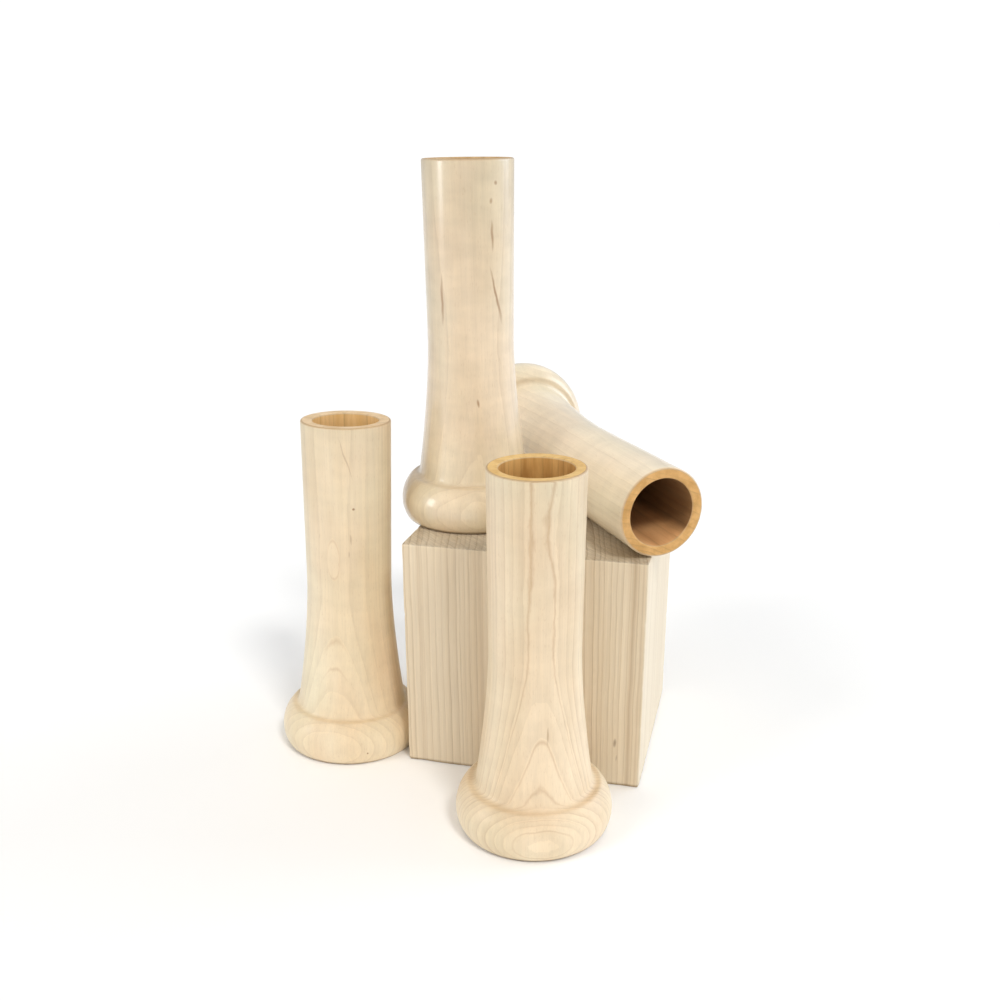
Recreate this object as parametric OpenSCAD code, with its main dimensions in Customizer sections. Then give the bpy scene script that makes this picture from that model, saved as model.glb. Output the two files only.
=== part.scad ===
// Turned claves: hollow, waisted tubes on a solid round knob, grouped around
// and on a plain wooden display block.  Millimetres, +Z up, floor at z = 0,
// origin at the centre of the block's underside, block faces along X and Y.

/* [Clave] */
// Length from the knob's flat foot to the rim of the mouth
clave_len = 135; // [110:1:160]
// Diameter of the knob at its widest
knob_d = 57; // [54:0.5:57]
// Radius of the knob's rounded section
knob_round = 13.3; // [12:0.1:13.5]
// Height of the knob's widest point above its foot
knob_z = 7.9; // [6:0.1:10]
// Outer diameter at the narrowest part of the neck
waist_d = 32.5; // [31:0.1:32.5]
// Place of the waist, as a fraction of the length from the foot
waist_at = 0.52; // [0.4:0.01:0.6]
// How far the neck swells in radius towards the knob
neck_swell = 23; // [15:0.5:24]
// Outer diameter at the rim of the mouth
mouth_d = 33.5; // [32.5:0.1:33.5]
// Angle up the knob's round at which its shoulder rolls over
shoulder_at = 44; // [40:1:48]
// Radius of the roll-over from the shoulder into the cove
shoulder_round = 2; // [1:0.1:2.5]
// Width of the eased edge around the foot
foot_ease = 1.2; // [0.4:0.1:1.5]

/* [Bore] */
// Diameter of the bore
bore_d = 25.4; // [20:0.1:26]
// Depth of the blind bore from the rim
bore_depth = 105; // [60:1:108]
// Width of the eased inner edge at the mouth
bore_ease = 0.6; // [0.2:0.1:1]
// Width of the eased outer edge at the mouth
rim_ease = 0.5; // [0.2:0.1:1]

/* [Display block] */
// Width of the block along X
block_w = 93; // [92:0.5:94]
// Depth of the block along Y
block_d = 84; // [83:0.5:84.5]
// Height of the block
block_h = 92.5; // [80:0.5:92.5]
// Width of the eased edges of the block
block_ease = 1.2; // [0.3:0.1:2]

/* [Arrangement] */
// Left clave, foot centre along X
left_x = -76.1; // [-90:0.1:-76.1]
// Left clave, foot centre along Y
left_y = -27.1; // [-40:0.1:0]
// Lean of the left clave, its foot faced out of square
left_lean = 2.4; // [0:0.1:2.4]
// Direction that the left clave leans in, in degrees from +X
left_toward = 68; // [60:1:90]
// Extra diameter of the left clave's neck and mouth
left_stout = 1.1; // [0:0.1:1.2]
// Front clave, foot centre along X
front_x = 11.7; // [0:0.1:20]
// Front clave, foot centre along Y
front_y = -72.6; // [-80:0.1:-72]
// Upright clave on the block, foot centre along X
top_x = -29.3; // [-29.4:0.1:-29.2]
// Upright clave on the block, foot centre along Y
top_y = -0.8; // [-0.9:0.1:-0.7]
// Lean of the upright clave, its foot faced out of square
top_lean = 0.35; // [0:0.05:0.4]
// Direction that the upright clave leans in, in degrees from +X
top_toward = 194; // [180:1:200]
// Extra diameter of the upright clave's neck and mouth
top_stout = 0.3; // [0:0.1:0.3]
// Lying clave, centre of the mouth along X
lying_x = 49.3; // [49:0.1:50]
// Lying clave, centre of the mouth along Y
lying_y = -33.6; // [-34:0.1:-33]
// Height of the lying clave's mouth centre above the block
lying_h = 16.9; // [16.9:0.1:17.5]
// Direction the mouth points, in degrees from +X
lying_turn = -53.7; // [-54:0.1:-53]
// Dip of the mouth below level, in degrees
lying_dip = 0.95; // [0.9:0.01:1]
// Gap kept between the upright clave's foot and the block
stand_gap = 0.1; // [0.05:0.01:0.3]

/* [Hidden] */
$fn = 96;

arc_steps = 24;
roll_steps = 4;
cove_steps = 6;
neck_steps = 34;
pale = [0.90, 0.82, 0.71];
cream = [0.92, 0.84, 0.74];
honey = [0.87, 0.76, 0.62];
raw = [0.85, 0.76, 0.63];

// Neck radius at height z: a power curve from the waist down to the knob,
// and a very slow flare from the waist up to the mouth.
function neck_r(z, stout) =
    let (t = z / clave_len)
    stout / 2 + (t < waist_at
        ? waist_d / 2 + neck_swell * pow(waist_at - t, 1.6)
        : waist_d / 2 + (mouth_d - waist_d) / 2 * (t - waist_at) / (1 - waist_at));

function arc_pt(centre, r, a) = [centre[0] + r * cos(a), centre[1] + r * sin(a)];

// Knob: a circular arc from the foot up to the shoulder, which rolls over on a small arc.
knob_c = [knob_d / 2 - knob_round, knob_z];
a_foot = -asin((knob_z - foot_ease) / knob_round);
foot_r = arc_pt(knob_c, knob_round, a_foot)[0] - foot_ease;
roll_c = arc_pt(knob_c, knob_round - shoulder_round, shoulder_at);
shoulder_r = roll_c[0];
shoulder_z = roll_c[1] + shoulder_round;

// Cove: a hollow arc from the rolled shoulder up to the neck, which runs in at this slope.
neck_slope = 8.6;
function cove_end(f) = arc_pt([shoulder_r, shoulder_z + f], f, neck_slope - 180);
// Its radius grows until the arc has come in to the neck.
function cove_fit(f, stout) =
    f > 5 || cove_end(f)[0] <= neck_r(cove_end(f)[1], stout) ? f : cove_fit(f + 0.02, stout);

function outline(stout) =
    let (f = cove_fit(1, stout), base_z = cove_end(f)[1])
    concat(
        [[0, 0], [foot_r, 0]],
        [for (i = [0:arc_steps])
            arc_pt(knob_c, knob_round, a_foot + (shoulder_at - a_foot) * i / arc_steps)],
        [for (i = [1:roll_steps])
            arc_pt(roll_c, shoulder_round, shoulder_at + (90 - shoulder_at) * i / roll_steps)],
        [for (i = [1:cove_steps])
            arc_pt([shoulder_r, shoulder_z + f], f, -90 - (90 - neck_slope) * i / cove_steps)],
        [for (i = [1:neck_steps])
            let (z = base_z + (clave_len - rim_ease - base_z) * i / neck_steps)
            [neck_r(z, stout), z]],
        [[(mouth_d + stout) / 2 - rim_ease, clave_len], [0, clave_len]]
    );

module clave(stout = 0) {
    difference() {
        rotate_extrude() polygon(outline(stout));
        translate([0, 0, clave_len - bore_depth])
            cylinder(h = bore_depth + 1, d = bore_d);
        translate([0, 0, clave_len - bore_ease])
            cylinder(h = bore_ease + 0.01, d1 = bore_d, d2 = bore_d + 2 * bore_ease + 0.02);
    }
}

// Foot sunk and faced off level, so that a leaning clave still stands flat.
module leaning_clave(lean, toward, stout) {
    sink = foot_r * sin(lean) + 0.05;
    difference() {
        translate([0, 0, -sink])
            rotate(a = lean, v = [-sin(toward), cos(toward), 0]) clave(stout);
        translate([-knob_d, -knob_d, -20]) cube([2 * knob_d, 2 * knob_d, 20]);
    }
}

// A bar of triangular section that eases one edge of the block.
module edge_cut(len) {
    s = block_ease * sqrt(2);
    rotate([45, 0, 0]) cube([len, s, s], center = true);
}

module display_block() {
    color(raw)
    difference() {
        translate([-block_w / 2, -block_d / 2, 0]) cube([block_w, block_d, block_h]);
        for (s = [-1, 1]) {
            for (z = [0, block_h]) {
                translate([0, s * block_d / 2, z]) edge_cut(block_w + 4);
                translate([s * block_w / 2, 0, z]) rotate([0, 0, 90]) edge_cut(block_d + 4);
            }
            for (t = [-1, 1])
                translate([s * block_w / 2, t * block_d / 2, block_h / 2])
                    rotate([0, 90, 0]) edge_cut(block_h + 4);
        }
    }
}

module clave_left() {
    color(cream) translate([left_x, left_y, 0])
        leaning_clave(left_lean, left_toward, left_stout);
}

module clave_front() {
    color(cream) translate([front_x, front_y, 0]) clave();
}

module clave_top() {
    color(pale) translate([top_x, top_y, block_h + stand_gap])
        leaning_clave(top_lean, top_toward, top_stout);
}

module clave_lying() {
    color(honey)
    translate([lying_x, lying_y, block_h + lying_h])
        rotate([0, 90 + lying_dip, lying_turn])
            translate([0, 0, -clave_len]) clave();
}

display_block();
clave_left();
clave_front();
clave_top();
clave_lying();
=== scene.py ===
import bpy, bmesh, math
from mathutils import Vector, Matrix, noise


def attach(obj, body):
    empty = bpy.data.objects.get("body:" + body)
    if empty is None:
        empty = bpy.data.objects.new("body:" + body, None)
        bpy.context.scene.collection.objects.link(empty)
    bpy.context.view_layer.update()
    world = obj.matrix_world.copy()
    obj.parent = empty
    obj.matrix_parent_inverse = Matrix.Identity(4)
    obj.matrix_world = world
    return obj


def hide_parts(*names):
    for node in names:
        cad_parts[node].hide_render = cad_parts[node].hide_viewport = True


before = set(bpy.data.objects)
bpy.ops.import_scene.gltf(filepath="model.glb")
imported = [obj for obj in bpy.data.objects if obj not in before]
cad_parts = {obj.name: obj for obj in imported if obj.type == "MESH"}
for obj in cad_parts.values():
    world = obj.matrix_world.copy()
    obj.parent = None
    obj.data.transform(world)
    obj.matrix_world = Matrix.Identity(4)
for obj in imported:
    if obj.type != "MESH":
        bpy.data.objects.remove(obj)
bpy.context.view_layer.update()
scene = bpy.context.scene
MM = 0.001


# ---------------------------------------------------------------- node graph helper
class Graph:
    """A short way to write a material's nodes. Values may be sockets or plain numbers."""

    def __init__(self, name):
        self.mat = bpy.data.materials.new(name)
        self.mat.use_nodes = True
        self.tree = self.mat.node_tree
        self.tree.nodes.clear()

    def node(self, kind, **props):
        n = self.tree.nodes.new(kind)
        for k, v in props.items():
            setattr(n, k, v)
        return n

    def put(self, socket, value):
        if isinstance(value, bpy.types.NodeSocket):
            self.tree.links.new(value, socket)
        else:
            socket.default_value = value

    def math(self, op, a, b=0.0, c=0.0, clamp=False):
        n = self.node("ShaderNodeMath", operation=op, use_clamp=clamp)
        for s, v in zip(n.inputs, (a, b, c)):
            self.put(s, v)
        return n.outputs[0]

    def add(self, *vals):
        out = vals[0]
        for v in vals[1:]:
            out = self.math("ADD", out, v)
        return out

    def mul(self, *vals):
        out = vals[0]
        for v in vals[1:]:
            out = self.math("MULTIPLY", out, v)
        return out

    def scaled(self, vec, factors):
        n = self.node("ShaderNodeVectorMath", operation="MULTIPLY")
        self.put(n.inputs[0], vec)
        n.inputs[1].default_value = factors
        return n.outputs[0]

    def noise(self, vec, factors, detail=2.0, rough=0.5, offset=0.0):
        v = self.scaled(vec, factors)
        if offset:
            a = self.node("ShaderNodeVectorMath", operation="ADD")
            self.put(a.inputs[0], v)
            a.inputs[1].default_value = (offset, offset * 0.7, offset * 1.3)
            v = a.outputs[0]
        n = self.node("ShaderNodeTexNoise", noise_dimensions="3D", noise_type="FBM")
        self.put(n.inputs["Vector"], v)
        n.inputs["Scale"].default_value = 1.0
        n.inputs["Detail"].default_value = detail
        n.inputs["Roughness"].default_value = rough
        return n.outputs[0]

    def ramp(self, fac, stops, smooth=False):
        n = self.node("ShaderNodeValToRGB")
        n.color_ramp.interpolation = "EASE" if smooth else "LINEAR"
        el = n.color_ramp.elements
        while len(el) < len(stops):
            el.new(0.5)
        for e, (pos, col) in zip(el, stops):
            e.position = pos
            e.color = (col, col, col, 1) if not isinstance(col, tuple) else (*col, 1)
        self.put(n.inputs[0], fac)
        return n.outputs[0]

    def mix(self, fac, a, b, blend="MIX"):
        n = self.node("ShaderNodeMix", data_type="RGBA", blend_type=blend)
        self.put(n.inputs["Factor"], fac)
        for name, v in (("A", a), ("B", b)):
            socket = [i for i in n.inputs if i.name == name and i.type == "RGBA"][0]
            self.put(socket, v if isinstance(v, bpy.types.NodeSocket) else (*v, 1))
        return [o for o in n.outputs if o.type == "RGBA"][0]

    def gain(self, col, factor):
        """Colour times a plain factor."""
        n = self.node("ShaderNodeVectorMath", operation="SCALE")
        self.put(n.inputs[0], col)
        self.put(n.inputs["Scale"], factor)
        return n.outputs[0]

    def bump(self, height, strength, distance, normal=None):
        n = self.node("ShaderNodeBump")
        n.inputs["Strength"].default_value = strength
        n.inputs["Distance"].default_value = distance
        self.put(n.inputs["Height"], height)
        if normal is not None:
            self.put(n.inputs["Normal"], normal)
        return n.outputs[0]

    def finish(self, colour, rough, normal, **uniform):
        """The shader. uniform are its plain settings, with _ for each space in the socket's name."""
        b = self.node("ShaderNodeBsdfPrincipled")
        self.put(b.inputs["Base Color"], colour)
        self.put(b.inputs["Roughness"], rough)
        if normal is not None:
            self.put(b.inputs["Normal"], normal)
        for k, v in uniform.items():
            b.inputs[k.replace("_", " ")].default_value = v
        o = self.node("ShaderNodeOutputMaterial")
        self.tree.links.new(b.outputs[0], o.inputs["Surface"])
        return self.mat


# ---------------------------------------------------------------- solid wood
def growth(g, place, turn, pith, spacing, seed, run=0.0, wave=2.2, ripple=0.5, bumps=(), bold=(), fade=9.0):
    """The tree's growth layers cut through by the piece, in the piece's own millimetres.

    x runs across the layers, towards the bark, after a turn about the grain (z).
    bumps are (y, z, half width, half height, lift): small swellings of the layers,
    which show as eyes and pointed arches on a turned face.
    bold are (x, strength, half width): layers that show more than the rest, fading out at y = fade.
    Returns the place, its x, y and z, the late wood of each layer, a random tone for each layer,
    the place within its layer (0 to 1) and how strongly a bold layer shows.
    """
    co = g.node("ShaderNodeTexCoord").outputs["Object"]
    m0 = g.node("ShaderNodeMapping", vector_type="TEXTURE")
    g.put(m0.inputs["Vector"], co)
    m0.inputs["Location"].default_value = place.translation
    m0.inputs["Rotation"].default_value = place.to_euler("XYZ")
    m0.inputs["Scale"].default_value = (MM, MM, MM)
    m = g.node("ShaderNodeMapping", vector_type="POINT")
    g.put(m.inputs["Vector"], m0.outputs[0])
    m.inputs["Rotation"].default_value = (0, 0, math.radians(turn))
    p = m.outputs[0]
    s = g.node("ShaderNodeSeparateXYZ")
    g.put(s.inputs[0], p)
    x, y, z = s.outputs
    big = g.math("SUBTRACT", g.noise(p, (0.035, 0.035, 0.011), 2, 0.45, seed), 0.5)
    small = g.math("SUBTRACT", g.noise(p, (0.16, 0.16, 0.06), 4, 0.6, seed + 3), 0.5)
    xx = g.add(x, pith, g.mul(big, wave * 2), g.mul(small, ripple * 2), g.mul(z, run))
    for (by, bz, w, h, lift) in bumps:
        u = g.math("DIVIDE", g.math("SUBTRACT", y, by), w)
        v = g.math("DIVIDE", g.math("SUBTRACT", z, bz), h)
        q = g.add(g.mul(u, u), g.mul(v, v))
        xx = g.add(xx, g.mul(lift, g.math("EXPONENT", g.mul(q, -1.0))))
    rad = g.math("SQRT", g.add(g.mul(xx, xx), g.mul(y, y)))
    uneven = g.node("ShaderNodeTexNoise", noise_dimensions="1D")
    g.put(uneven.inputs["W"], g.mul(rad, 0.11))
    uneven.inputs["Scale"].default_value = 1.0
    uneven.inputs["Detail"].default_value = 2.0
    phase = g.add(g.math("DIVIDE", rad, spacing), g.mul(uneven.outputs[0], 2.4))
    part = g.math("FRACT", phase)
    ring = g.node("ShaderNodeTexWhiteNoise", noise_dimensions="1D")
    g.put(ring.inputs["W"], g.add(g.math("FLOOR", phase), seed))
    line = g.ramp(part, [(0.0, 0.35), (0.05, 0.0), (0.5, 0.05), (0.84, 0.42), (0.94, 1.0), (1.0, 0.55)])
    strong = 0.0
    for (where, strength, width) in bold:
        off = g.math("DIVIDE", g.math("ABSOLUTE", g.math("SUBTRACT", rad, pith + where)), width)
        strong = g.math("MAXIMUM", strong, g.mul(g.math("SUBTRACT", 1.0, off, clamp=True), strength))
    if bold:
        side = g.math("DIVIDE", y, fade)
        strong = g.mul(strong, g.math("EXPONENT", g.mul(side, side, -1.0)))
    return p, (x, y, z), line, ring.outputs[0], part, strong


def end_grain(g, place, sharp, way=1):
    """1 where the surface faces straight up the grain (down it with way -1), 0 where it runs along it."""
    n = g.node("ShaderNodeVectorMath", operation="DOT_PRODUCT")
    g.put(n.inputs[0], g.node("ShaderNodeTexCoord").outputs["Normal"])
    n.inputs[1].default_value = place.to_3x3() @ Vector((0, 0, way))
    return g.math("POWER", g.math("MAXIMUM", n.outputs["Value"], 0.0), sharp)


def streak_mask(g, y, z, streaks, wob):
    """Thin brown mineral streaks: (y, z, half width, half height, slant, strength)."""
    total = 0.0
    for (sy, sz, w, h, slant, strength) in streaks:
        dz = g.math("SUBTRACT", z, sz)
        u = g.math("DIVIDE", g.add(g.math("SUBTRACT", y, sy), g.mul(dz, -slant), wob), w)
        v = g.math("DIVIDE", dz, h)
        q = g.add(g.mul(u, u), g.mul(v, v))
        m = g.mul(g.math("SUBTRACT", 1.0, q, clamp=True), strength)
        total = g.math("MAXIMUM", total, m)
    return total


def clave_wood(name, place, wood, light, mid, late, late_amt, gloss, streaks, mottle, standing):
    """Finished outside of a clave. light, mid and late are the wood's tones, late_amt how much the
    growth lines show and mottle how cloudy it is. A standing clave has painted shade: a little darker
    towards its mouth, and darker at its foot's edge as if in contact shadow."""
    fibre, lines_from = 0.06, 0.25
    top_shade, foot_shade = (0.10, 0.9) if standing else (0.0, 0.25)
    g = Graph(name)
    p, (x, y, z), line, ring, part, strong = growth(g, place, **wood)
    seed = wood["seed"]
    tone = g.ramp(g.noise(p, (0.06, 0.06, 0.014), 3, 0.5, seed + 9), [(0.35, 0.0), (0.65, 1.0)], True)
    body = g.mix(tone, light, mid)
    # maple drifts a little between a pink and a straw tone
    drift = g.noise(p, (0.035, 0.035, 0.02), 2, 0.5, seed + 12)
    body = g.mix(1.0, body, g.ramp(drift, [(0.35, (1.03, 0.985, 0.965)), (0.65, (0.985, 1.01, 1.0))]), "MULTIPLY")
    per = g.add(lines_from, g.mul(ring, 1.0 - lines_from))
    patch = g.ramp(g.noise(p, (0.10, 0.10, 0.02), 2, 0.5, seed + 5), [(0.3, 0.35), (0.65, 1.0)])
    shows = g.mul(line, per, patch, late_amt)
    if wood.get("bold"):
        # the bold layers take over from the ordinary ones down the middle of the face
        front = g.math("GREATER_THAN", x, 0.0)
        side = g.math("DIVIDE", y, wood["fade"] * 0.75)
        hush = g.mul(front, g.math("EXPONENT", g.mul(side, side, -1.0)), 0.9)
        shows = g.mul(shows, g.math("SUBTRACT", 1.0, hush))
        shows = g.math("MAXIMUM", shows, g.mul(strong, front, g.add(0.35, g.mul(patch, 0.4))))
    body = g.mix(shows, body, late)
    # the later part of a layer is a touch darker than its start
    body = g.gain(body, g.add(1.03, g.mul(part, -0.06)))
    fine = g.noise(p, (1.9, 1.9, 0.055), 4, 0.6, seed + 1)
    mid_f = g.noise(p, (0.50, 0.50, 0.018), 3, 0.55, seed + 2)
    curl = g.noise(p, (0.08, 0.08, 0.17), 2, 0.5, seed + 7)
    grey = g.add(1.0,
                 g.mul(g.math("SUBTRACT", fine, 0.5), fibre * 2.4),
                 g.mul(g.math("SUBTRACT", mid_f, 0.5), fibre * 3.0),
                 g.mul(g.math("SUBTRACT", curl, 0.5), mottle * 2.4))
    body = g.gain(body, grey)
    # short rays, seen as tiny brown dashes along the grain
    dash = g.ramp(g.noise(p, (2.6, 2.6, 0.5), 1, 0.5, seed + 4), [(0.62, 0.0), (0.74, 1.0)])
    body = g.mix(g.mul(dash, 0.14), body, late)
    if streaks:
        wob = g.mul(g.math("SUBTRACT", g.noise(p, (0.25, 0.25, 0.12), 2, 0.5, seed + 6), 0.5), 1.6)
        front = g.math("GREATER_THAN", x, 0.0)
        body = g.mix(g.mul(front, streak_mask(g, y, z, streaks, wob)), body, (0.36, 0.19, 0.085))
    # end grain drinks more finish, so the cove and the knob's shoulder are darker; in the cove this is partly
    # painted shade, where the concave crease lies in shade
    soak_and_cove_shade = g.mul(end_grain(g, place, 2.0), g.add(0.75, g.mul(fine, 0.5)))
    body = g.mix(soak_and_cove_shade, body, g.mix(1.0, body, (0.84, 0.79, 0.735), "MULTIPLY"))
    # the mouth's edge is darker still, partly from end grain that drinks more finish and partly painted shade
    lip = g.mul(end_grain(g, place, 1.2), g.math("GREATER_THAN", z, LEN - 1.5))
    body = g.mix(g.mul(lip, 0.8), body, g.mix(1.0, body, (0.72, 0.55, 0.36), "MULTIPLY"))
    # painted shade: a standing clave darkens slowly towards its mouth, as if lit more strongly from the floor below
    body = g.gain(body, g.add(1.03, g.mul(z, -top_shade / LEN)))
    # painted shade: the foot's edge is darkened as if in contact shadow, and its end grain is a little darker
    contact_shade = g.ramp(g.math("DIVIDE", z, 2.0), [(0.35, 1.0), (0.85, 0.0)], True)
    under = end_grain(g, place, 6.0, -1)
    body = g.mix(g.mul(contact_shade, g.math("SUBTRACT", 1.0, under), foot_shade), body,
                 g.mix(1.0, body, (0.36, 0.30, 0.24), "MULTIPLY"))
    body = g.mix(g.mul(under, 0.8), body, g.mix(1.0, body, (0.88, 0.80, 0.68), "MULTIPLY"))
    rough = g.ramp(mid_f, [(0.3, gloss["smooth"]), (0.7, gloss["rough"])])
    height = g.add(g.mul(fine, 0.6), g.mul(line, -0.5), g.mul(curl, 0.5))
    normal = g.bump(height, gloss["bump"], 0.00012)
    return g.finish(body, rough, normal, Coat_Weight=gloss["coat"], Coat_Roughness=gloss["coat_rough"],
                    Specular_IOR_Level=0.4)


def end_wood(name, place, wood, light, dark, deep, worn=0.0, under=0.0):
    """Rim and bore: end grain and drilled wall, darkened by the finish soaking in.

    deep gives the brightness left at the bore's bottom and at its mouth, a painted shade that darkens the bore
    towards its bottom; worn lightens the rim's rubbed edges, and under darkens the walls of a lying bore that do not
    face up, painted shade that leaves the up-facing wall as a painted patch of light."""
    g = Graph(name)
    p, (_, _, z), line, ring, _, _ = growth(g, place, **wood)
    seed = wood["seed"]
    blot = g.noise(p, (0.20, 0.20, 0.035), 3, 0.6, seed + 8)
    body = g.mix(g.ramp(blot, [(0.34, 0.0), (0.66, 1.0)], True), light, dark)
    body = g.mix(g.mul(line, g.add(0.3, g.mul(ring, 0.7)), 0.5), body, tuple(c * 0.5 for c in dark))
    pores = g.noise(p, (2.4, 2.4, 0.25), 2, 0.6, seed + 2)
    body = g.gain(body, g.add(0.90, g.mul(pores, 0.20)))
    bottom, top = deep
    # painted shade: darker towards the bore's bottom, a little lighter at its mouth
    body = g.gain(body, g.ramp(g.math("DIVIDE", z, LEN),
                               [(0.25, bottom), (0.80, bottom * 0.5 + top * 0.35), (0.99, top)]))
    if worn:
        edge = g.ramp(end_grain(g, place, 1.0), [(0.35, 1.0), (0.97, 0.0)])
        body = g.mix(g.mul(edge, worn), body, (0.86, 0.70, 0.47))
    if under:
        # painted shade and painted light: walls that do not face up are darkened, so the up-facing wall of a lying
        # bore reads as a lit patch
        n = g.node("ShaderNodeSeparateXYZ")
        g.put(n.inputs[0], g.node("ShaderNodeTexCoord").outputs["Normal"])
        body = g.gain(body, g.ramp(n.outputs[2], [(0.50, 1.0 - under), (0.86, 1.0)], True))
    tool = g.noise(p, (0.05, 0.05, 2.2), 2, 0.5, seed + 4)
    height = g.add(g.mul(pores, 0.8), g.mul(tool, 0.7))
    return g.finish(body, g.ramp(pores, [(0.3, 0.45), (0.7, 0.6)]), g.bump(height, 0.35, 0.00015),
                    Specular_IOR_Level=0.35)


# ---------------------------------------------------------------- turned mesh
LEN, KNOB_R, KNOB_ARC, KNOB_Z = 135.0, 28.5, 13.3, 7.9
WAIST_R, MOUTH_R, BORE_R, BORE_END = 16.25, 16.75, 12.7, 30.0
SHOULDER, ROLL, FOOT_R = 44.0, 2.0, 25.49
WAIST_AT, SWELL = 0.52, 23.0
EASE, BORE_FILLET = 0.7, 1.5          # rounding of the mouth's edges, and at the bottom of the bore
KNOB_FROM = 2.2                       # height at which the foot's easing meets the knob
SEGMENTS = 176


def neck_r(z, stout):
    t = z / LEN
    if t < WAIST_AT:
        return stout / 2 + WAIST_R + SWELL * (WAIST_AT - t) ** 1.6
    return stout / 2 + WAIST_R + (MOUTH_R - WAIST_R) * (t - WAIST_AT) / 0.48


def arc(cx, cz, r, a0, a1, n):
    """Points along a circular arc from a0 to a1 degrees, without its first one."""
    out = []
    for i in range(1, n + 1):
        a = math.radians(a0 + (a1 - a0) * i / n)
        out.append((cx + r * math.cos(a), cz + r * math.sin(a)))
    return out


def bend(p0, p1, p2, n):
    """A quadratic curve from p0 towards p1 and in to p2, without p0."""
    out = []
    for i in range(1, n + 1):
        t = i / n
        out.append(tuple((1 - t) ** 2 * a + 2 * t * (1 - t) * b + t * t * c for a, b, c in zip(p0, p1, p2)))
    return out


def profile(stout):
    """(radius, height, face kind) from the foot's centre, up the outside, over the rim, down the bore."""
    rc = KNOB_R - KNOB_ARC
    # foot and its eased edge, which comes in under the knob
    outer = [(r, 0.0) for r in (0.0, 4, 8, 12, 16, 19, 22, FOOT_R - 0.9)]
    low = -math.degrees(math.asin((KNOB_Z - KNOB_FROM) / KNOB_ARC))
    start = (rc + KNOB_ARC * math.cos(math.radians(low)), KNOB_FROM)
    outer += bend(outer[-1], (FOOT_R + 0.75, 0.12), start, 8)
    # round side, rolled shoulder, cove
    outer += arc(rc, KNOB_Z, KNOB_ARC, low, SHOULDER, 30)
    a = math.radians(SHOULDER)
    roll = (rc + (KNOB_ARC - ROLL) * math.cos(a), KNOB_Z + (KNOB_ARC - ROLL) * math.sin(a))
    outer += arc(*roll, ROLL, SHOULDER, 90.0, 7)
    # the cove grows until it meets the neck, which slopes by 8.6 degrees there
    cove = 1.0
    while roll[0] - cove * 0.989 > neck_r(roll[1] + ROLL + 0.85 * cove, stout):
        cove += 0.01
    outer += arc(roll[0], roll[1] + ROLL + cove, cove, -90.0, -171.4, 9)
    base = outer[-1][1]
    steps = 78
    for i in range(1, steps + 1):
        z = base + (LEN - EASE - base) * i / steps
        outer.append((neck_r(z, stout), z))
    mouth = MOUTH_R + stout / 2
    outer += arc(mouth - EASE, LEN - EASE, EASE, 0.0, 90.0, 6)
    rim = [(BORE_R + EASE + (mouth - 1.3 - BORE_R) * k / 6, LEN) for k in (5, 4, 3, 2, 1, 0)]
    rim += bend(rim[-1], (BORE_R, LEN), (BORE_R, LEN - EASE), 5)
    bore = [(BORE_R, LEN - EASE - (LEN - EASE - BORE_END - BORE_FILLET) * i / 44) for i in range(1, 45)]
    bore += arc(BORE_R - BORE_FILLET, BORE_END + BORE_FILLET, BORE_FILLET, 0.0, -90.0, 4)
    bore += [(r, BORE_END) for r in (9.0, 6.0, 3.0, 0.0)]
    return [(r, z, kind) for kind, part in enumerate((outer, rim, bore)) for r, z in part]


def turned(name, matrix, rest, stout, mats, seed):
    """One clave. rest is the height of what it stands on, or None for the one that lies down."""
    rows = profile(stout)
    bm = bmesh.new()
    grid = []
    for r, z, kind in rows:
        if r == 0.0:
            grid.append([bm.verts.new((0, 0, z * MM))])
            continue
        ring = []
        for i in range(SEGMENTS):
            a = 2 * math.pi * i / SEGMENTS
            # hand sanding: a few hundredths of a millimetre out of true, never proud of the outline
            w = noise.noise(Vector((math.cos(a) * 1.3, math.sin(a) * 1.3, z * 0.035 + seed))) * 0.5 + 0.5
            rr = r - (0.07 * w if kind == 0 and z > 1.0 else 0.0)
            ring.append(bm.verts.new((rr * math.cos(a) * MM, rr * math.sin(a) * MM, z * MM)))
        grid.append(ring)
    for k in range(len(grid) - 1):
        a, b = grid[k], grid[k + 1]
        kind = rows[k + 1][2]
        for i in range(SEGMENTS):
            j = (i + 1) % SEGMENTS
            if len(a) == 1:
                f = bm.faces.new((a[0], b[j], b[i]))
            elif len(b) == 1:
                f = bm.faces.new((a[i], a[j], b[0]))
            else:
                f = bm.faces.new((a[i], a[j], b[j], b[i]))
            f.material_index = kind
            f.smooth = True
    bm.transform(matrix)
    # a leaning foot is faced off flat where it would reach below its support
    for v in bm.verts:
        if rest is not None and v.co.z < rest * MM:
            v.co.z = rest * MM
    bm.normal_update()
    me = bpy.data.meshes.new(name)
    bm.to_mesh(me)
    bm.free()
    for m in mats:
        me.materials.append(m)
    ob = bpy.data.objects.new(name, me)
    scene.collection.objects.link(ob)
    return ob


# ---------------------------------------------------------------- the claves
def stand(x, y, rest, lean=0.0, toward=0.0):
    """Upright on the height rest, leaning by a few degrees, with the foot sunk so that it is faced flat."""
    sink = FOOT_R * math.sin(math.radians(lean)) + 0.05 if lean else 0.0
    d = math.radians(toward)
    tip = Matrix.Rotation(math.radians(lean), 4, Vector((-math.sin(d), math.cos(d), 0)))
    return Matrix.Translation((x * MM, y * MM, (rest - sink) * MM)) @ tip


def lie(x, y, z, turn, dip):
    """On its side, with the centre of its mouth at x, y, z."""
    rot = Matrix.Rotation(math.radians(turn), 4, "Z") @ Matrix.Rotation(math.radians(90 + dip), 4, "Y")
    return Matrix.Translation((x * MM, y * MM, z * MM)) @ rot @ Matrix.Translation((0, 0, -LEN * MM))


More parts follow.
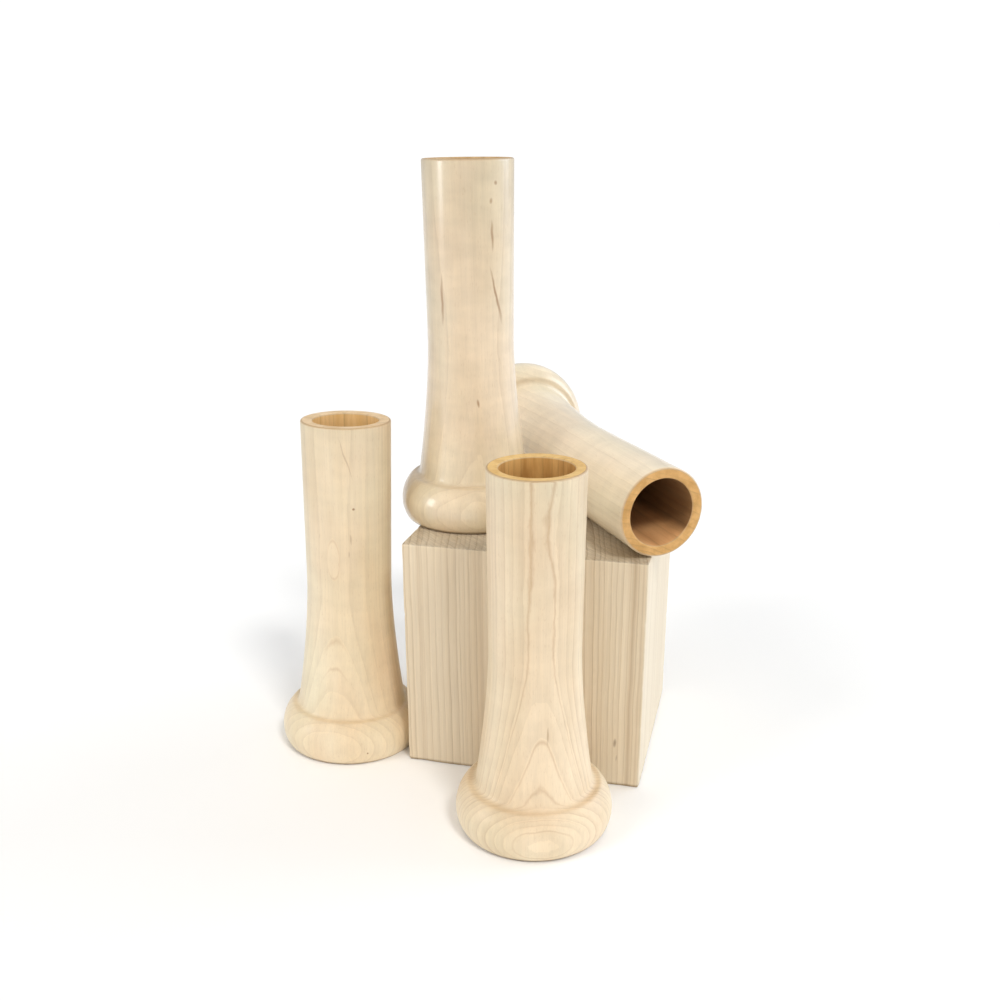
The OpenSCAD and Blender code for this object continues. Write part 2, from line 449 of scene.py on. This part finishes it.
cream, tan, late = (0.83, 0.705, 0.51), (0.765, 0.63, 0.435), (0.44, 0.235, 0.09)
lacquered, amber = (0.79, 0.665, 0.48), (0.73, 0.60, 0.415)
satin = dict(smooth=0.38, rough=0.48, coat=0.12, bump=0.5, coat_rough=0.28)
lacquer = dict(smooth=0.28, rough=0.38, coat=0.75, bump=0.35, coat_rough=0.19)


BLOCK_W, BLOCK_D, BLOCK_H = 93.0, 84.0, 92.5
ON_BLOCK = 92.6                       # an upright clave stands 0.1 mm above the block


def clave(**own):
    """A clave's settings: what all share, then its own. stout is extra diameter, rim and bore are
    (light, dark), deep and under are those of end_wood."""
    return dict(dict(stout=0.0, streaks=(), deep=(0.25, 1.15), under=0.0), **own)


def clave_left():
    wood = dict(turn=88.0, pith=60.0, spacing=2.3, seed=37.0, run=0.0, wave=0.7, ripple=0.3,
                bumps=((-0.6, 83.0, 4.0, 10.0, 1.5),), bold=((17.75, 0.5, 0.13), (18.95, 0.5, 0.13)), fade=4.0)
    dots = ((7.5, 104.0, 0.5, 0.6, 0.0, 1.0), (14.5, 6.0, 0.45, 0.5, 0.0, 1.0), (5.2, 123.5, 0.35, 9.0, -0.3, 0.35),
            (6.5, 92.0, 0.3, 2.5, -0.1, 0.4), (6.0, 86.0, 0.3, 1.5, 0.1, 0.35))
    return clave(at=stand(-76.1, -27.1, 0.0, 2.4, 68.0), rest=0.0, stout=1.1, wood=wood, light=(0.855, 0.735, 0.535),
                 mid=(0.80, 0.665, 0.46), lines=0.12, gloss=satin, streaks=dots, mottle=0.07,
                 rim=((0.84, 0.64, 0.41), (0.73, 0.52, 0.29)), bore=((0.84, 0.58, 0.28), (0.76, 0.49, 0.20)))


def clave_front():
    wood = dict(turn=71.0, pith=52.0, spacing=1.75, seed=11.0, run=0.0, wave=0.35, ripple=0.35,
                bumps=((1.0, 40.0, 5.0, 14.0, 0.9), (1.0, 124.0, 9.0, 22.0, -0.62)),
                bold=((15.85, 0.68, 0.13), (18.9, 0.5, 0.17), (20.4, 0.45, 0.17), (25.2, 0.3, 0.17),
                      (26.2, 0.35, 0.17), (27.2, 0.5, 0.17)), fade=13.0)
    return clave(at=stand(11.7, -72.6, 0.0), rest=0.0, wood=wood, light=cream, mid=tan, lines=0.42, gloss=satin,
                 streaks=((2.5, 45.0, 0.4, 3.5, 0.05, 0.5),), mottle=0.06,
                 rim=((0.80, 0.53, 0.205), (0.67, 0.41, 0.137)), bore=((0.70, 0.41, 0.14), (0.50, 0.26, 0.075)))


def clave_top():
    wood = dict(turn=75.0, pith=95.0, spacing=3.6, seed=53.0, run=0.03, wave=2.6, ripple=0.5)
    streaks = ((8.5, 109.0, 0.6, 6.0, 0.0, 0.7), (-10.0, 86.5, 0.6, 10.0, 0.0, 0.75),
               (9.5, 88.0, 0.6, 11.0, -0.2, 0.8), (9.5, 127.0, 0.7, 0.9, 0.0, 0.7),
               (8.0, 121.0, 0.6, 1.2, 0.0, 0.6), (2.5, 49.0, 0.6, 1.8, -0.1, 0.8))
    return clave(at=stand(-29.3, -0.8, ON_BLOCK, 0.35, 194.0), rest=ON_BLOCK, stout=0.3, wood=wood, light=lacquered,
                 mid=amber, lines=0.13, gloss=lacquer, streaks=streaks, mottle=0.11,
                 rim=((0.60, 0.39, 0.18), (0.50, 0.30, 0.115)), bore=((0.66, 0.40, 0.15), (0.50, 0.27, 0.08)))


def clave_lying():
    wood = dict(turn=200.0, pith=80.0, spacing=3.0, seed=71.0, run=0.01, wave=1.8, ripple=0.4)
    # the bore's light colour and under together paint a lit patch on the up-facing wall, with painted shade on the
    # rest
    return clave(at=lie(49.3, -33.6, BLOCK_H + 16.9, -53.7, 0.95), rest=None, wood=wood, light=(0.86, 0.755, 0.575),
                 mid=(0.80, 0.69, 0.51), lines=0.08, gloss=lacquer, mottle=0.09, deep=(0.95, 1.0), under=0.66,
                 rim=((0.72, 0.42, 0.155), (0.58, 0.32, 0.10)), bore=((0.96, 0.54, 0.24), (0.80, 0.42, 0.18)))


for k, (body, c) in enumerate((("left", clave_left()), ("front", clave_front()),
                               ("top", clave_top()), ("lying", clave_lying()))):
    mats = [clave_wood("maple_" + body, c["at"], c["wood"], c["light"], c["mid"], late, c["lines"], c["gloss"],
                       c["streaks"], c["mottle"], c["rest"] is not None),
            end_wood("rim_" + body, c["at"], c["wood"], *c["rim"], (1.0, 1.0), worn=0.3),
            end_wood("bore_" + body, c["at"], c["wood"], *c["bore"], c["deep"], under=c["under"])]
    ob = turned("clave_" + body + "_turned", c["at"], c["rest"], c["stout"], mats, k + 1.0)
    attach(ob, body)
    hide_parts("clave_" + body)


# ---------------------------------------------------------------- display block
def block_mesh(name, mats):
    """The sawn block. Cuts run closer together near the edges, where they are eased."""
    w, d, h = BLOCK_W, BLOCK_D, BLOCK_H

    def stops(size):
        near = [0.0, 0.2, 0.45, 0.75, 1.1, 1.6, 2.3, 3.3]
        n = int((size - 6.6) / 1.7)
        mid = [3.3 + (size - 6.6) * i / n for i in range(1, n)]
        return near + mid + [size - v for v in reversed(near)]
    xs, ys, zs = stops(w), stops(d), stops(h)
    bm = bmesh.new()
    cache = {}

    def vert(x, y, z):
        key = (round(x, 4), round(y, 4), round(z, 4))
        if key in cache:
            return cache[key]
        p = Vector((x - w / 2, y - d / 2, z))
        # edges are eased by hand, so the radius wanders
        r = 0.9 + 0.5 * noise.noise(p * 0.09 + Vector((5, 1, 9)))
        lo, hi = Vector((-w / 2 + r, -d / 2 + r, r)), Vector((w / 2 - r, d / 2 - r, h - r))
        inner = Vector([min(max(p[i], lo[i]), hi[i]) for i in range(3)])
        off = p - inner
        if off.length > 1e-6:
            off = off.normalized() * r
        q = inner + off
        nrm = off.normalized()
        # sawn faces: fine upright ridges on the sides, rough crossing saw marks on top
        if nrm.z > 0.7:
            cut = noise.noise(Vector((q.x * 0.9 + q.y * 0.5, q.y * 0.12, 3))) * 0.5 + 0.5
            cut += 0.6 * (noise.noise(Vector((q.x * 0.25, q.y * 0.25, 8))) * 0.5 + 0.5)
            depth = 0.07 * cut
        elif nrm.z < -0.7:
            depth = 0.0
        else:
            along = q.x if abs(nrm.y) > abs(nrm.x) else q.y
            cut = noise.noise(Vector((along * 0.7, 11, q.z * 0.012))) * 0.5 + 0.5
            wear = noise.noise(Vector((q.x * 0.03, q.y * 0.03, q.z * 0.03))) * 0.5 + 0.5
            depth = 0.07 * cut + 0.10 * wear
        # small dings along the upper front edge
        ding = noise.noise(Vector((q.x * 0.35, q.y * 0.35, q.z * 0.35 + 20)))
        if off.length > 0 and ding > 0.25 and min(abs(abs(nrm.x) - 0.7), abs(abs(nrm.y) - 0.7)) < 0.4:
            depth += (ding - 0.25) * 0.6
        q = q - nrm * depth
        v = bm.verts.new(q * MM)
        cache[key] = v
        return v

    def face(vs, kind):
        f = bm.faces.new(vs)
        f.smooth = True
        f.material_index = kind

    for z, flip, kind in ((0.0, True, 1), (h, False, 1)):
        for i in range(len(xs) - 1):
            for j in range(len(ys) - 1):
                q = [vert(xs[i], ys[j], z), vert(xs[i + 1], ys[j], z),
                     vert(xs[i + 1], ys[j + 1], z), vert(xs[i], ys[j + 1], z)]
                face(q[::-1] if flip else q, kind)
    for y, flip in ((0.0, False), (d, True)):
        for i in range(len(xs) - 1):
            for j in range(len(zs) - 1):
                q = [vert(xs[i], y, zs[j]), vert(xs[i + 1], y, zs[j]),
                     vert(xs[i + 1], y, zs[j + 1]), vert(xs[i], y, zs[j + 1])]
                face(q[::-1] if flip else q, 0)
    for x, flip in ((0.0, True), (w, False)):
        for i in range(len(ys) - 1):
            for j in range(len(zs) - 1):
                q = [vert(x, ys[i], zs[j]), vert(x, ys[i + 1], zs[j]),
                     vert(x, ys[i + 1], zs[j + 1]), vert(x, ys[i], zs[j + 1])]
                face(q[::-1] if flip else q, 0)
    me = bpy.data.meshes.new(name)
    bm.to_mesh(me)
    bm.free()
    for m in mats:
        me.materials.append(m)
    ob = bpy.data.objects.new(name, me)
    scene.collection.objects.link(ob)
    return ob


def block_wood(name, ends):
    """Raw wood: end grain with saw marks on the two ends, long grain on the four sides."""
    g = Graph(name)
    seed = 91.0
    p, (x, y, z), line, ring, _, strong = growth(g, Matrix.Identity(4), -18.0, 240.0, 2.3, seed, run=0.004,
                                            wave=1.6, ripple=0.35, fade=400.0,
                                            bold=((31.8, 0.75, 1.4), (34.8, 0.45, 0.6), (-49.0, 0.35, 1.5),
                                                  (-25.0, 0.25, 2.0), (17.0, 0.25, 1.2)))
    light, mid, dark = (0.81, 0.69, 0.515), (0.735, 0.605, 0.43), (0.44, 0.305, 0.18)
    tone = g.ramp(g.noise(p, (0.09, 0.09, 0.006), 3, 0.5, seed + 9), [(0.3, 0.0), (0.7, 1.0)], True)
    body = g.mix(tone, light, mid)
    lines = g.mul(line, g.add(0.35, g.mul(ring, 0.65)), 0.7 if ends else 0.50)
    body = g.mix(g.math("MAXIMUM", lines, g.mul(strong, 0.75)), body, dark)
    fine = g.noise(p, (2.3, 2.3, 0.05 if not ends else 1.6), 4, 0.65, seed + 1)
    mid_f = g.noise(p, (0.8, 0.8, 0.015 if not ends else 0.8), 3, 0.6, seed + 2)
    body = g.gain(body, g.add(1.0, g.mul(g.math("SUBTRACT", fine, 0.5), 0.22),
                              g.mul(g.math("SUBTRACT", mid_f, 0.5), 0.20)))
    if ends:
        turned_p = g.node("ShaderNodeMapping", vector_type="POINT")
        g.put(turned_p.inputs["Vector"], p)
        turned_p.inputs["Rotation"].default_value = (0, 0, math.radians(62))
        saw = g.noise(turned_p.outputs[0], (0.12, 1.3, 0.5), 3, 0.65, seed + 5)
        body = g.gain(body, g.add(0.46, g.mul(saw, 0.66)))
        height = g.add(g.mul(fine, 0.8), g.mul(saw, 1.2), g.mul(line, -0.6))
        normal = g.bump(height, 0.8, 0.00035)
    else:
        n = g.node("ShaderNodeSeparateXYZ")
        g.put(n.inputs[0], g.node("ShaderNodeTexCoord").outputs["Normal"])
        # painted light: the right face is paler, as if lit more strongly from the right
        painted_light_right = g.math("MAXIMUM", n.outputs[0], 0.0)
        body = g.mix(g.mul(painted_light_right, 0.55), body, (0.83, 0.745, 0.61))
        knot = streak_mask(g, x, z, ((21.8, 18.5, 0.7, 2.2, 0.05, 0.6), (22.6, 12.0, 0.35, 1.6, 0.1, 0.3)), 0.0)
        body = g.mix(g.mul(knot, g.math("LESS_THAN", y, -20.0)), body, (0.22, 0.13, 0.075))
        # painted shade: the sides darken at their foot, as if in contact shadow on the floor
        contact_shade = g.ramp(g.math("DIVIDE", z, 2.0), [(0.2, 1.0), (0.8, 0.0)], True)
        body = g.mix(g.mul(contact_shade, 0.75), body, g.mix(1.0, body, (0.45, 0.38, 0.30), "MULTIPLY"))
        height = g.add(g.mul(fine, 0.9), g.mul(mid_f, 0.9), g.mul(line, -0.7))
        normal = g.bump(height, 0.6, 0.0002)
    return g.finish(body, g.ramp(fine, [(0.3, 0.66), (0.7, 0.82)]), normal, Specular_IOR_Level=0.25)


block = block_mesh("display_block_sawn", [block_wood("block_side", False), block_wood("block_end", True)])
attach(block, "block")
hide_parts("display_block")


# ---------------------------------------------------------------- floor, light, camera
def floor():
    bm = bmesh.new()
    s = 3.0
    vs = [bm.verts.new(c) for c in ((-s, -s, 0), (s, -s, 0), (s, s, 0), (-s, s, 0))]
    bm.faces.new(vs)
    me = bpy.data.meshes.new("studio_floor")
    bm.to_mesh(me)
    bm.free()
    g = Graph("floor_paper")
    p = g.node("ShaderNodeTexCoord").outputs["Object"]
    soft = g.noise(p, (3, 3, 3), 2, 0.5, 4)
    col = g.mix(soft, (0.97, 0.97, 0.965), (0.985, 0.985, 0.985))
    me.materials.append(g.finish(col, 0.6, None, Specular_IOR_Level=0.2))
    ob = bpy.data.objects.new("studio_floor", me)
    scene.collection.objects.link(ob)


floor()


def area(name, pos, target, width, height, power):
    li = bpy.data.lights.new(name, "AREA")
    li.shape = "RECTANGLE"
    li.size = width
    li.size_y = height
    li.energy = power
    ob = bpy.data.objects.new(name, li)
    ob.location = pos
    ob.rotation_euler = (Vector(target) - Vector(pos)).to_track_quat("-Z", "Y").to_euler()
    scene.collection.objects.link(ob)
    return ob


world = bpy.data.worlds.new("studio")
scene.world = world
world.use_nodes = True
wt = world.node_tree
wt.nodes.clear()
# soft_bg lights the set, white_bg is the plain backdrop that the camera sees
soft_bg, white_bg = wt.nodes.new("ShaderNodeBackground"), wt.nodes.new("ShaderNodeBackground")
soft_bg.inputs[0].default_value = (1.0, 0.995, 0.985, 1)
soft_bg.inputs[1].default_value = 0.61
white_bg.inputs[0].default_value = (1, 1, 1, 1)
white_bg.inputs[1].default_value = 1.05
path, both, out = (wt.nodes.new(k) for k in ("ShaderNodeLightPath", "ShaderNodeMixShader", "ShaderNodeOutputWorld"))
wt.links.new(path.outputs["Is Camera Ray"], both.inputs[0])
wt.links.new(soft_bg.outputs[0], both.inputs[1])
wt.links.new(white_bg.outputs[0], both.inputs[2])
wt.links.new(both.outputs[0], out.inputs[0])

# the camera's heading; the lights are placed by it too
yaw, pitch, roll = (math.radians(a) for a in (13.95, 21.46, -0.18))
right = Vector((math.cos(yaw), math.sin(yaw), 0))
ahead = Vector((-math.sin(yaw), math.cos(yaw), 0))
mid = Vector((0, 0, 0.08))


def at(r, a, z):
    """A place given to the camera's right, ahead and up, from the middle of the group."""
    return mid + right * r + ahead * a + Vector((0, 0, z))


def sun(name, toward, angle, strength, colour):
    """A far soft light; toward is the direction it stands in, in the camera's right, ahead and up."""
    li = bpy.data.lights.new(name, "SUN")
    li.angle = math.radians(angle)
    li.energy = strength
    li.color = colour
    ob = bpy.data.objects.new(name, li)
    d = right * toward[0] + ahead * toward[1] + Vector((0, 0, toward[2]))
    ob.rotation_euler = d.to_track_quat("Z", "Y").to_euler()
    scene.collection.objects.link(ob)
    return ob


key = sun("key_front_right", (0.475, -0.88, 1.19), 13.0, 1.14, (1.0, 0.98, 0.95))
side = sun("side_left", (-0.9, -0.5, 0.9), 20.0, 0.62, (1.0, 0.97, 0.94))
key.visible_glossy = side.visible_glossy = False
sun("window_right", (1.0, 0.35, 0.35), 45.0, 1.0, (0.85, 1.0, 1.2))
# a white card that only shows in the gloss
card = area("card_left", at(-0.95, -0.31, 0.22), mid, 0.20, 0.34, 2.0)
card.visible_diffuse = False

cam = bpy.data.cameras.new("camera")
cam.sensor_width = 36.0
cam.lens = 36.0 * 1.138
cam.shift_y = 0.0725
cam.clip_start = 0.01
cam_ob = bpy.data.objects.new("camera", cam)
scene.collection.objects.link(cam_ob)
look = (ahead * math.cos(pitch) + Vector((0, 0, -math.sin(pitch)))).normalized()
up = right.cross(look)
rot = Matrix((right, up, -look)).transposed().to_4x4()
cam_ob.matrix_world = Matrix.Translation((0.0860, -0.4218, 0.2383)) @ rot @ Matrix.Rotation(roll, 4, "Z")
scene.camera = cam_ob

scene.view_settings.view_transform = "Standard"
scene.view_settings.look = "None"
scene.view_settings.exposure = 0.0
